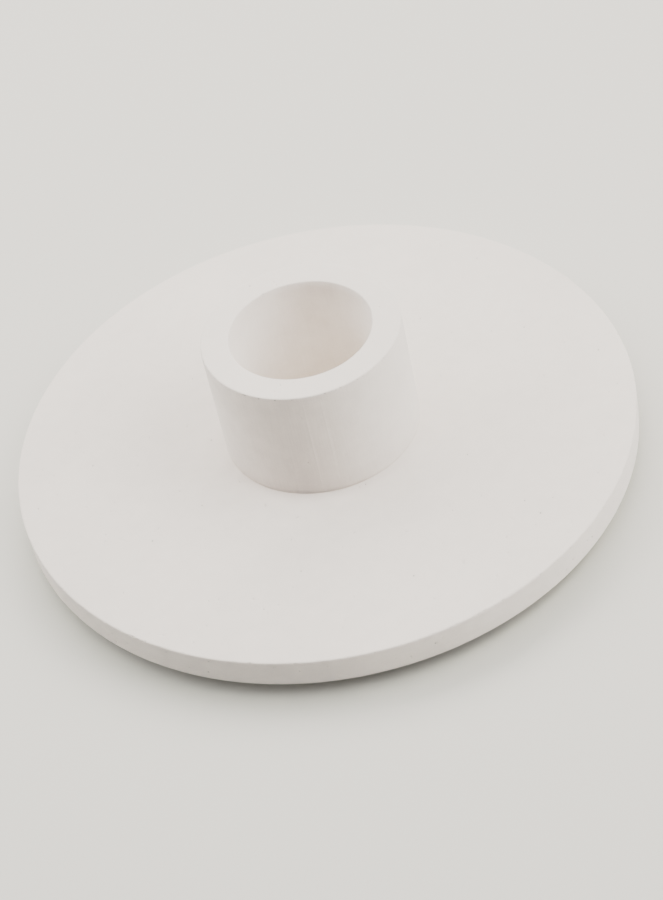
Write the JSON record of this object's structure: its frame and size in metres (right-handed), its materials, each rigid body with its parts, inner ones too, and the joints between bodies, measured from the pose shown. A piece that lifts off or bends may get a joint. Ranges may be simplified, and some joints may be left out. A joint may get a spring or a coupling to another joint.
{
  "type": "plaster plate mold",
  "caption": "Plaster drape mold for shallow plates: a thin round plate with a shallow domed working face, and a hollow stem that holds it clear of the bench.",
  "frame": {"origin": "centre of the flat on the working face, which is the lowest plane as the mold lies stem up", "axes": "+Z along the stem's axis, from the working face to the stem's free end; the shape is round, so X and Y are free"},
  "size_m": [0.25, 0.25, 0.0693],
  "materials": {
    "plate_plaster": "matt, dry cast plaster with a few pinholes",
    "stem_plaster": "matt, dry cast plaster with faint lengthwise lines",
    "bond_plaster": "matt, dry plaster, hand smoothed"
  },
  "bodies": {
    "root": {"mold_plate": "plate_plaster", "hollow_stem": "stem_plaster", "stem_bond": "bond_plaster"}
  },
  "joints": []
}
